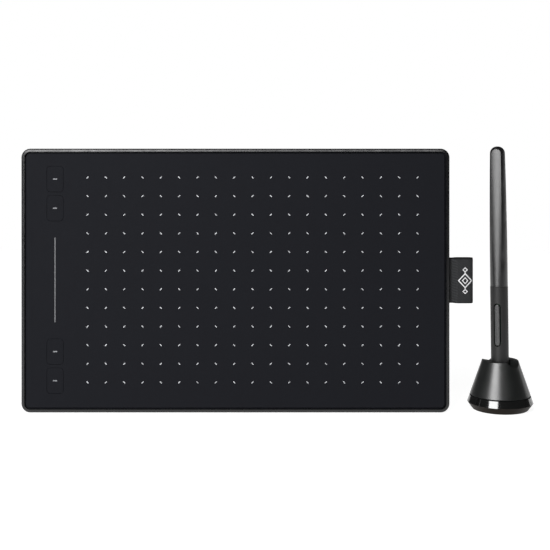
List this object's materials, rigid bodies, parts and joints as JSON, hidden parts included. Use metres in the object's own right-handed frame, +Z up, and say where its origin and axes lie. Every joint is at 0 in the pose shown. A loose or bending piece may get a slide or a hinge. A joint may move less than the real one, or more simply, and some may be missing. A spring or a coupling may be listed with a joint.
{
  "type": "graphics tablet",
  "caption": "Flat pen tablet with press keys, a scroll strip and a ribbon pen loop, standing beside a pen in its conical stand.",
  "frame": {"origin": "on the floor under the middle of the set's bounding box", "axes": "+X to the right of someone facing the drawing surface, along the tablet's long edge; the drawing surface and the pen's side buttons face -Y; +Z up"},
  "size_m": [0.3468, 0.0444, 0.1791],
  "materials": {
    "housing_plastic": "fine satin moulding, near black",
    "cover_plastic": "fine paper-like texture, dark blue grey",
    "mark_ink": "light grey print",
    "strip_plastic": "mid grey",
    "ribbon_tape": "woven tape, dark grey with light threads",
    "rubber": "soft matt black",
    "steel": "bare",
    "board": "green solder mask over glass fibre",
    "chip": "black package",
    "film": "amber film",
    "lamp": "white lens",
    "copper": "enamelled copper wire",
    "ferrite": "dark grey sintered",
    "pen_gloss": "polished black",
    "pen_grip": "soft matt black",
    "nib_plastic": "hard black plastic",
    "stand_plastic": "satin black",
    "button_plastic": "satin dark grey"
  },
  "bodies": {
    "stand_base": {"stand_foot": "stand_plastic", "grip_pad": "rubber", "base_weight": "steel", "weight_screws": "steel", "nib_puller": "steel", "base_ring": "stand_plastic", "nib_tray": "stand_plastic", "spare_nibs": "nib_plastic"},
    "stand_top": {"stand_shell": "stand_plastic", "socket_liner": "stand_plastic"},
    "pen": {"pen_grip": "pen_grip", "pen_nose": "pen_grip", "pen_barrel": "pen_gloss", "pen_sleeve": "steel", "ferrite_core": "ferrite", "pickup_coil": "copper", "sensor_holder": "nib_plastic", "pressure_sensor": "nib_plastic", "pen_board": "board", "board_carrier": "nib_plastic", "pen_switches": "chip"},
    "pen_nib": {"pen_nib": "nib_plastic", "nib_plunger": "nib_plastic"},
    "upper_button": {"upper_button": "button_plastic"},
    "lower_button": {"lower_button": "button_plastic"},
    "tablet": {"rear_housing": "housing_plastic", "front_cover": "cover_plastic", "grid_marks": "mark_ink", "scroll_strip": "strip_plastic", "touch_film": "film", "panel_adhesive": "film", "digitizer_board": "board", "shield_plate": "steel", "digitizer_flex": "film", "control_board": "board", "control_chips": "chip", "key_switches": "chip", "status_lamp": "lamp", "usb_shell": "steel", "usb_tongue": "chip", "cover_screws": "steel", "foot_left_bottom": "rubber", "foot_left_top": "rubber", "foot_right_bottom": "rubber", "foot_right_top": "rubber", "ribbon_loop": "ribbon_tape", "ribbon_clamp": "steel", "clamp_screws": "steel"},
    "key_1": {"key_1": "cover_plastic"},
    "key_2": {"key_2": "cover_plastic"},
    "key_3": {"key_3": "cover_plastic"},
    "key_4": {"key_4": "cover_plastic"}
  },
  "joints": [
    {"name": "shell_lift_off", "type": "slide", "parent": "stand_base", "child": "stand_top", "axis": [0, 0, 1], "range_m": [0, 0.025]},
    {"name": "pen_lift_out", "type": "slide", "parent": "stand_top", "child": "pen", "axis": [-0.0122, 0, 0.9999], "range_m": [0, 0.03]},
    {"name": "nib_press", "type": "slide", "parent": "pen", "child": "pen_nib", "axis": [-0.0122, 0, 0.9999], "range_m": [0, 0.0004], "stiffness_N_per_m": 7500, "springref_m": -0.00004},
    {"name": "upper_button_press", "type": "slide", "parent": "pen", "child": "upper_button", "axis": [0.454, 0.891, 0], "range_m": [0, 0.00035], "stiffness_N_per_m": 1700, "springref_m": -0.0001},
    {"name": "lower_button_press", "type": "slide", "parent": "pen", "child": "lower_button", "axis": [0.454, 0.891, 0], "range_m": [0, 0.00035], "stiffness_N_per_m": 1700, "springref_m": -0.0001},
    {"name": "tablet_lay_flat", "type": "hinge", "parent": "stand_base", "child": "tablet", "pos_m": [-0.02935, -0.0044, 0], "axis": [-1, 0, 0], "range_deg": [0, 90]},
    {"name": "key_1_press", "type": "slide", "parent": "tablet", "child": "key_1", "axis": [0, 1, 0], "range_m": [0, 0.00035], "stiffness_N_per_m": 1700, "springref_m": -0.0001},
    {"name": "key_2_press", "type": "slide", "parent": "tablet", "child": "key_2", "axis": [0, 1, 0], "range_m": [0, 0.00035], "stiffness_N_per_m": 1700, "springref_m": -0.0001},
    {"name": "key_3_press", "type": "slide", "parent": "tablet", "child": "key_3", "axis": [0, 1, 0], "range_m": [0, 0.00035], "stiffness_N_per_m": 1700, "springref_m": -0.0001},
    {"name": "key_4_press", "type": "slide", "parent": "tablet", "child": "key_4", "axis": [0, 1, 0], "range_m": [0, 0.00035], "stiffness_N_per_m": 1700, "springref_m": -0.0001}
  ]
}
